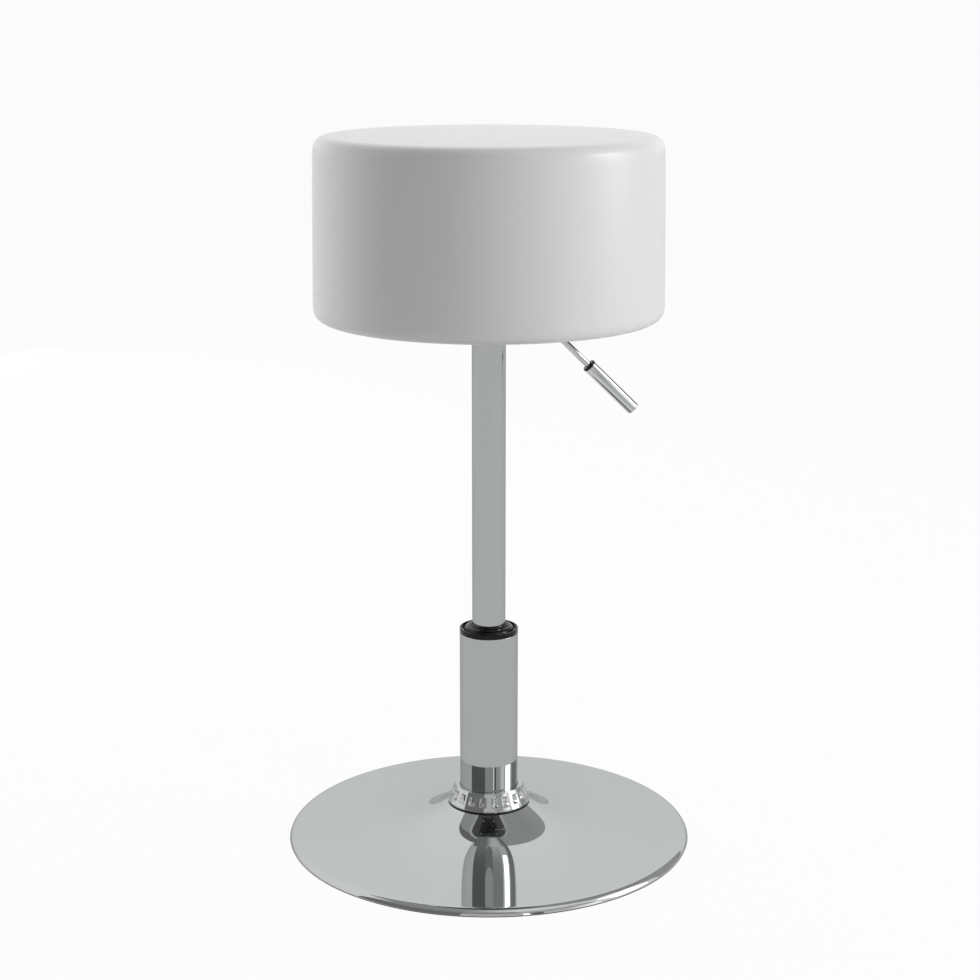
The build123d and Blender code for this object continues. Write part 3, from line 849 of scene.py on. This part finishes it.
# %% Hide grain
def pebbles(tree, place, scale, edge):
    """Domes that fall off to the lines between them."""
    cells = add(tree, "TexVoronoi", {"Vector": place, "Scale": scale}, feature="DISTANCE_TO_EDGE")
    return ramp(tree, cells.outputs["Distance"], 0.0, edge)


sockets = {"Pebble": 900.0, "Soft Folds": 14.0}
tree, given, out = new_group("hide grain", sockets, ["Height", "Creases", "Tone"])
place = in_place(tree)
stir = add(tree, "TexNoise", {"Vector": place, "Scale": 260.0, "Detail": 2.0})
bend = add(tree, "VectorMath", {0: stir.outputs["Color"], "Scale": 0.0011}, operation="SCALE")
bent = add(tree, "VectorMath", {0: place, 1: bend.outputs[0]}, operation="ADD").outputs[0]
domes = pebbles(tree, bent, given["Pebble"], 0.28)
small = pebbles(tree, bent, times(tree, given["Pebble"], 2.3), 0.3)
folds = noise(tree, place, scale=given["Soft Folds"], detail=3.0, roughness=0.55)
height = layered(tree, folds, 1.6, layered(tree, small, 0.35, domes))
feed(tree, out, height=height, creases=math(tree, "SUBTRACT", 1.0, domes), tone=folds)
hide_grain = tree

# %% Handling haze
tree, given, out = new_group("handling haze", {"Patch": 18.0, "Fine": 420.0}, ["Haze", "Streaks"])
place = in_place(tree)
patch = noise(tree, place, scale=given["Patch"], detail=4.0, roughness=0.6, distortion=0.4)
fine = noise(tree, place, scale=given["Fine"], detail=3.0, roughness=0.65)
wide = times(tree, ramp(tree, patch, 0.42, 0.72), 0.7)
cloud = layered(tree, ramp(tree, fine, 0.40, 0.75), 0.3, wide)
stretch = add(tree, "VectorMath", {0: place, 1: (60.0, 60.0, 900.0)}, operation="MULTIPLY")
lines = noise(tree, stretch.outputs[0], scale=2.0, detail=2.0)
feed(tree, out, haze=cloud, streaks=ramp(tree, lines, 0.55, 0.75))
haze = tree

# %% Rubbed edges, found where a softened normal leaves the true one
tree, given, out = new_group("rubbed edges", {"Patch": 160.0, "Amount": 0.5}, ["Rubbed"])
softened = add(tree, "Bevel", {"Radius": 0.0012}, samples=6).outputs[0]
true_normal = add(tree, "NewGeometry").outputs["Normal"]
facing = add(tree, "VectorMath", {0: softened, 1: true_normal}, operation="DOT_PRODUCT")
edge = ramp(tree, facing.outputs["Value"], 0.99, 0.86)
patch = noise(tree, in_place(tree), scale=given["Patch"], detail=5.0, roughness=0.7)
spots = times(tree, edge, ramp(tree, patch, 0.45, 0.65))
feed(tree, out, rubbed=times(tree, spots, given["Amount"]))
rubbed_edges = tree

# %% Settled dust
tree, given, out = new_group("settled dust", {"Patch": 30.0, "Amount": 0.5}, ["Dust"])
up = add(tree, "SeparateXYZ", {0: add(tree, "NewGeometry").outputs["Normal"]}).outputs["Z"]
patch = noise(tree, in_place(tree), scale=given["Patch"], detail=6.0, roughness=0.72)
drift = times(tree, ramp(tree, up, 0.35, 0.95), ramp(tree, patch, 0.40, 0.80))
feed(tree, out, dust=times(tree, drift, given["Amount"]))
settled_dust = tree

# %% Moulded and sprayed skin
tree, given, out = new_group("stipple", {"Grain": 2600.0, "Swell": 300.0}, ["Height", "Tone"])
place = in_place(tree)
grain = noise(tree, place, scale=given["Grain"], detail=2.0, roughness=0.5)
swell = noise(tree, place, scale=given["Swell"], detail=2.0, roughness=0.5)
feed(tree, out, height=layered(tree, swell, 2.0, grain), tone=swell)
stipple = tree

# %% [markdown]
# ## Finishes
# Every material is one Principled shader. What is the same all over sits on the shader's own sockets; what
# changes over the surface comes from the groups. Chrome has the true colour of chromium, a middle grey that
# mirrors what is round it, so most of its look comes from the studio.

# %% Making a finish
finishes = {}


def finish(slot, name, **values):
    """A new material for a slot, with plain values on the sockets of its Principled shader."""
    material = bpy.data.materials.new(name)
    material.use_nodes = True
    tree = material.node_tree
    shader = next(n for n in tree.nodes if n.type == "BSDF_PRINCIPLED")
    feed(tree, shader, **values)
    finishes[slot] = material
    print(slot, "is", name)
    return tree, shader


def place_group(tree, group, **values):
    """Puts a shared effect into a material with its own values."""
    return add(tree, "Group", values, node_tree=group).outputs


def tint(tree, share, plain, other):
    """Mixes two colours by a mask."""
    colours = {"Factor": share, 6: (*plain, 1), 7: (*other, 1)}
    return add(tree, "Mix", colours, data_type="RGBA").outputs[2]


def relief(tree, shader, height, strength, depth):
    """Feeds a height into the shader's normal, with its depth in metres."""
    bump = add(tree, "Bump", {"Strength": strength, "Distance": depth, "Height": height})
    feed(tree, shader, normal=bump.outputs[0])


# %% Chrome
def make_chrome(slot, name, bright, dull, rough):
    """Chromium plate, a little cloudier where hands and dust have been."""
    tree, shader = finish(slot, name, metallic=1.0, specular_tint=(0.72, 0.73, 0.73, 1.0))
    marks = place_group(tree, haze, patch=16.0, fine=380.0)
    film = place_group(tree, settled_dust, patch=26.0, amount=0.35)
    rough = layered(tree, film["Dust"], 0.05, layered(tree, marks["Haze"], 0.018, rough))
    cloudy = times(tree, math(tree, "ADD", marks["Haze"], film["Dust"]), 0.35)
    feed(tree, shader, roughness=rough, base_color=tint(tree, cloudy, bright, dull))


make_chrome("chrome", "polished_chrome", (0.571, 0.588, 0.586), (0.549, 0.566, 0.565), 0.022)
# A paler copy of the chrome for the insides of the trim ring's windows: painted light that lifts the
# recesses.
make_chrome("lighter_window_plate", "painted_light_trim", (0.780, 0.785, 0.782), (0.720, 0.725, 0.722), 0.140)

# %% White cover
tree, shader = finish(
    "white_cover", "white_leathercloth", specular_ior_level=0.5, sheen_weight=0.05, sheen_roughness=0.4,
)
grain = place_group(tree, hide_grain, pebble=900.0, soft_folds=12.0)
marks = place_group(tree, haze, patch=9.0, fine=300.0)
soil = layered(tree, grain["Creases"], 0.35, times(tree, marks["Haze"], 0.25))
rough = layered(tree, grain["Creases"], 0.06, layered(tree, marks["Haze"], 0.05, 0.23))
colour = tint(tree, soil, (0.835, 0.835, 0.835), (0.790, 0.788, 0.782))
feed(tree, shader, base_color=colour, roughness=rough)
relief(tree, shader, grain["Height"], 0.22, 0.00006)
finishes["foam"] = finishes["white_cover"]


# %% Black plastic and rubber
def make_moulding(slot, name, colour, worn, shine, rough, grain, depth):
    """Moulded plastic or rubber: stippled, and paler where edges rub and dust lies."""
    tree, shader = finish(slot, name, specular_ior_level=shine)
    skin = place_group(tree, stipple, grain=grain, swell=260.0)
    marks = place_group(tree, haze, patch=60.0, fine=700.0)
    edges = place_group(tree, rubbed_edges, patch=300.0, amount=0.5)
    film = place_group(tree, settled_dust, patch=90.0, amount=0.25)
    pale = math(tree, "MAXIMUM", edges["Rubbed"], film["Dust"])
    dull = layered(tree, film["Dust"], rough, layered(tree, marks["Haze"], rough, rough))
    feed(tree, shader, base_color=tint(tree, pale, colour, worn), roughness=dull)
    relief(tree, shader, skin["Height"], 0.2, depth)


make_moulding(
    "black_plastic", "black_moulding", colour=(0.0015, 0.0015, 0.002), worn=(0.010, 0.010, 0.011),
    shine=0.3, rough=0.055, grain=3000.0, depth=0.000005,
)
make_moulding(
    "rubber", "black_rubber", colour=(0.004, 0.004, 0.004), worn=(0.022, 0.022, 0.021),
    shine=0.25, rough=0.30, grain=1500.0, depth=0.00004,
)

# %% Black paint
tree, shader = finish("black_paint", "black_powder_coat", specular_ior_level=0.5)
skin = place_group(tree, stipple, grain=1300.0, swell=420.0)
edges = place_group(tree, rubbed_edges, patch=220.0, amount=0.8)
film = place_group(tree, settled_dust, patch=60.0, amount=0.4)
pale = math(tree, "MAXIMUM", times(tree, film["Dust"], 0.7), edges["Rubbed"])
colour = tint(tree, pale, (0.012, 0.012, 0.013), (0.11, 0.11, 0.11))
rough = layered(tree, skin["Tone"], 0.16, 0.30)
bare = times(tree, edges["Rubbed"], 0.6)
feed(tree, shader, base_color=colour, roughness=rough, metallic=bare)
relief(tree, shader, skin["Height"], 0.35, 0.00008)


# %% Other metals
def make_metal(slot, name, colour, dull, rough, spread):
    """Plated or turned metal, stained where it was handled, with fine lines."""
    tree, shader = finish(slot, name, metallic=1.0)
    marks = place_group(tree, haze, patch=45.0, fine=900.0)
    film = place_group(tree, settled_dust, patch=80.0, amount=0.5)
    stain = math(tree, "MAXIMUM", times(tree, marks["Haze"], 0.8), film["Dust"])
    worn = layered(tree, marks["Haze"], spread, rough)
    feed(tree, shader, base_color=tint(tree, stain, colour, dull), roughness=worn)
    relief(tree, shader, marks["Streaks"], 0.15, 0.00003)


make_metal("bright_steel", "zinc_plated_steel", (0.62, 0.63, 0.64), (0.42, 0.43, 0.45), 0.22, 0.22)
make_metal("aluminium", "turned_aluminium", (0.80, 0.81, 0.82), (0.60, 0.60, 0.61), 0.26, 0.18)
make_metal("brass", "turned_brass", (0.72, 0.52, 0.24), (0.50, 0.36, 0.18), 0.22, 0.20)

# %% Plywood
two_plies = 0.003
tree, shader = finish("plywood", "birch_plywood", specular_ior_level=0.35)
place = in_place(tree)
along = add(tree, "VectorMath", {0: place, 1: (9.0, 160.0, 160.0)}, operation="MULTIPLY").outputs[0]
fibre = noise(tree, along, scale=1.0, detail=5.0, roughness=0.6, distortion=0.6)
height = add(tree, "SeparateXYZ", {0: place}).outputs["Z"]
plies = math(tree, "SINE", times(tree, height, 2 * pi / two_plies))
streak = ramp(tree, fibre, 0.35, 0.7)
share = layered(tree, ramp(tree, plies, 0.2, 0.8), 0.25, times(tree, streak, 0.7))
colour = tint(tree, share, (0.62, 0.45, 0.27), (0.45, 0.29, 0.15))
feed(tree, shader, base_color=colour, roughness=layered(tree, streak, 0.15, 0.55))
relief(tree, shader, fibre, 0.3, 0.0002)

# %% Felt
tree, shader = finish(
    "dust_cloth", "charcoal_felt", specular_ior_level=0.2, sheen_weight=0.15, sheen_roughness=0.5,
)
place = in_place(tree)
fibres = noise(tree, place, scale=900.0, detail=6.0, roughness=0.75)
dots = add(tree, "TexVoronoi", {"Vector": place, "Scale": 620.0, "Randomness": 0.15})
pressed = ramp(tree, dots.outputs["Distance"], 0.22, 0.34)
film = place_group(tree, haze, patch=14.0, fine=200.0)
share = layered(tree, fibres, 0.5, times(tree, film["Haze"], 0.3))
colour = tint(tree, share, (0.19, 0.19, 0.195), (0.12, 0.12, 0.125))
feed(tree, shader, base_color=colour, roughness=ramp(tree, pressed, 0.0, 1.0, 0.62, 0.85))
relief(tree, shader, layered(tree, fibres, 0.4, pressed), 0.4, 0.00015)

# %% [markdown]
# ## Painting the pieces
# Each solid from CAD already knows the slot of its finish, and each new piece was given one. So one pass
# paints them all. The insides of the trim ring's windows then get a duller plate that is paler than the
# chrome round them: painted light that makes the recesses brighter.

# %% Paint everything
for node in frame["nodes"].values():
    for place in node.material_slots:
        place.material = finishes[place.material.name]
for piece in (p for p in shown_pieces() if "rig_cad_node" not in p):
    piece.data.materials.append(finishes[piece["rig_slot"]])
window_low, window_high = 39.5, 55.0
back_radius, brow_depth = 34.8, 0.3
# The faces inside the windows take the paler copy of the chrome, which is painted light in the recesses.
trim.data.materials.append(finishes["lighter_window_plate"])
for face in trim.data.polygons:
    out, up = face.center.xy.length / MM, face.center.z / MM
    behind_skirt = skirt_top.x - out + (skirt_top.y - up) * slope.x / -slope.y
    in_windows = window_low < up < window_high and out > back_radius
    face.material_index = int(in_windows and behind_skirt > brow_depth)

# %% [markdown]
# ## The studio
# A pale floor and a white surround, a tall soft box on the right with a small bright one before it and a fill
# beside it, a wide soft panel on the left, and a light behind that skims over the seat's top. Chrome needs
# something dark to look like metal, so grey cards stand behind the camera and hang overhead, with low strips
# in front of them and a darker flag behind. They are only for reflections. The floor and the surround are
# white to the camera and to mirrors, and the floor still takes the stool's shadow. In a mirror the floor is
# a little darker where it is seen along its surface. From below it is clear, so the stool can be looked at
# from underneath.

# %% Floor
WHITE = (1, 1, 1, 1)


def seen_white(tree, mirror_share):
    """How white to be: one to the camera, and a share of it in mirrors. The second answer is one for both."""
    path = add(tree, "LightPath").outputs
    direct = math(tree, "MAXIMUM", path["Is Camera Ray"], path["Is Transmission Ray"])
    mirror = times(tree, path["Is Glossy Ray"], mirror_share)
    return math(tree, "MAXIMUM", direct, mirror), math(tree, "MAXIMUM", direct, path["Is Glossy Ray"])


def stage_material(name):
    """An empty material for the stage, which isn't sampled as a lamp."""
    material = bpy.data.materials.new(name)
    material.use_nodes = True
    material.node_tree.nodes.clear()
    material.cycles.emission_sampling = "NONE"
    return material, material.node_tree


pale_floor, tree = stage_material("pale_floor")
flatness = add(tree, "LayerWeight", {"Blend": 0.5}).outputs["Facing"]
level, seen = seen_white(tree, ramp(tree, flatness, 0.25, 0.60, 0.95, 0.66))
lit = add(tree, "BsdfDiffuse", {"Color": (0.55, 0.55, 0.55, 1)}).outputs[0]
white = add(tree, "Emission", {"Color": WHITE, "Strength": level}).outputs[0]
both = add(tree, "MixShader", {0: times(tree, seen, 0.96), 1: lit, 2: white}).outputs[0]
below = add(tree, "NewGeometry").outputs["Backfacing"]
clear = add(tree, "BsdfTransparent").outputs[0]
sided = add(tree, "MixShader", {0: below, 1: both, 2: clear})
add(tree, "OutputMaterial", {0: sided.outputs[0]})

floor_outline = [(0.0, 0.0), (1500.0, 0.0), (12000.0, 0.0), (400000.0, 0.0)]
floor = finish_mesh("floor", *spun(floor_outline, 64, closed=False))
if floor.data.polygons[0].normal.z < 0:
    floor.data.flip_normals()
floor.data.materials.append(pale_floor)
floor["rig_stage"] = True


# %% White surround
world = bpy.data.worlds.new("white_surround")
bpy.context.scene.world = world
world.use_nodes = True
sky = world.node_tree
sky.nodes.clear()
level = seen_white(sky, 1.0)[0]
strength = ramp(sky, level, 0.0, 1.0, 0.26, 0.96, shape="LINEAR")
backing = add(sky, "Background", {"Color": WHITE, "Strength": strength})
add(sky, "OutputWorld", {0: backing.outputs[0]})
print("surround ready")


# %% Lights
studio_middle = Vector((0.0, 0.0, 0.45))


def towards(side, up, far, middle=studio_middle):
    """A place in the studio: degrees to the right of the camera's side, degrees up, and how far."""
    side, up = radians(side), radians(up)
    return Vector(middle) + far * Vector((cos(up) * sin(side), -cos(up) * cos(side), sin(up)))


def soft_box(name, place, wide, tall, watts, mirrored=True):
    """A soft light that faces the stool. One that isn't mirrored doesn't show in the chrome."""
    lamp = bpy.data.lights.new(name, "AREA")
    lamp.shape = "RECTANGLE"
    lamp.size, lamp.size_y = wide, tall
    lamp.energy = watts
    light = bpy.data.objects.new(name, lamp)
    light.location = place
    light.rotation_euler = (place - studio_middle).to_track_quat("Z", "Y").to_euler()
    light.visible_glossy = mirrored
    bpy.context.scene.collection.objects.link(light)
    print(name, tuple(round(x, 2) for x in place), watts, "W")


soft_box("tall_box", towards(83, 18, 2.6), 1.15, 1.5, 18.5)
soft_box("spark", towards(82, 26, 2.55), 0.15, 0.30, 3.0)
soft_box("side_fill", towards(47, 15, 2.6), 1.0, 1.0, 18.0, mirrored=False)
soft_box("wide_panel", towards(-126, 8, 2.6), 3.6, 2.2, 71.0, mirrored=False)
soft_box("back_light", towards(162, 55, 2.6), 3.0, 1.6, 26.0, mirrored=False)


# %% Grey cards for the chrome
card_far, card_top = 4.0, 5.4
low_far, low_top = 3.96, 1.6
upwards, rightwards, forwards = (0, 0, 1), (1, 0, 0), (0, -1, 0)


def card(name, points, faces, tone, far_tone=None, spans=((upwards, 1.5, card_top),)):
    """A card that only mirrors see. A second tone takes over along each way, between two limits in metres."""
    piece = finish_mesh(name, points, faces)
    material, tree = stage_material(name)
    strength = tone
    if far_tone:
        share = far_tone - tone
        for way, start, end in spans:
            along = add(tree, "VectorMath", {0: in_place(tree), 1: way}, operation="DOT_PRODUCT")
            share = times(tree, ramp(tree, along.outputs["Value"], start, end), share)
        strength = math(tree, "ADD", share, tone)
    glow = add(tree, "Emission", {"Color": WHITE, "Strength": strength})
    add(tree, "OutputMaterial", {0: glow.outputs[0]})
    piece.data.materials.append(material)
    for ray in ("camera", "diffuse", "transmission", "shadow"):
        setattr(piece, "visible_" + ray, False)
    piece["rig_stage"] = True


def standing(side_from, side_to, top=card_top, far=card_far, top_to=None, arch=0.0, columns=24):
    """Points and faces of a curved upright card. Its last side may lean, and its top may arch."""
    points = []
    for z, last in ((0.0, side_to), (top, top_to or side_to)):
        for t in np.linspace(-1, 1, columns):
            side = side_from + (last - side_from) * (t + 1) / 2
            points.append(tuple(towards(side, 0, far, (0, 0, z - arch * t * t * z / top)) / MM))
    return points, [[i, i + 1, i + columns + 1, i + columns] for i in range(columns - 1)]


def hanging(side_from, side_to, height, corners=96):
    """Points and faces of a flat card overhead, round in front and cut straight behind."""
    sides = np.linspace(side_from, side_to, corners)
    points = [tuple(towards(side, 0, card_far, (0, 0, height)) / MM) for side in sides]
    return points, [list(range(corners))]


left_end, middle_from, middle_to, right_end = -73, -15, 18, 62
over_from, over_to = -103, 169.5
card("card_left", *standing(left_end, middle_from), 0.21, 0.36)
card("card_middle", *standing(middle_from, middle_to, 2.4, arch=0.3), 0.63)
card("card_behind", *standing(middle_from, middle_to, far=4.02, arch=1.4), 0.34)
card("card_backing", *standing(middle_from, middle_to, far=4.04), 0.60)
card("card_right", *standing(middle_to, right_end), 0.45, 0.85)
card("low_slit", *standing(middle_to, 21.5, low_top, low_far), 1.9)
card("low_gap", *standing(23, 29, low_top, low_far), 0.16)
card("low_right", *standing(29, right_end, low_top, low_far), 0.70, 1.5, ((rightwards, 2.55, 3.50),))
card("card_far_right", *standing(104, 130, top_to=over_to), 0.44, 0.37)
over_spans = ((rightwards, -1.2, 1.4), (forwards, -0.2, 1.2))
card("card_over", *hanging(over_from, over_to, card_top), 0.37, 1.0, over_spans)

flag_height = 5380
flag_corners = [(-2830, 1600, flag_height), (-200, 3320, flag_height), (-200, 1600, flag_height)]
card("flag_behind", flag_corners, [[0, 1, 2]], 0.18)
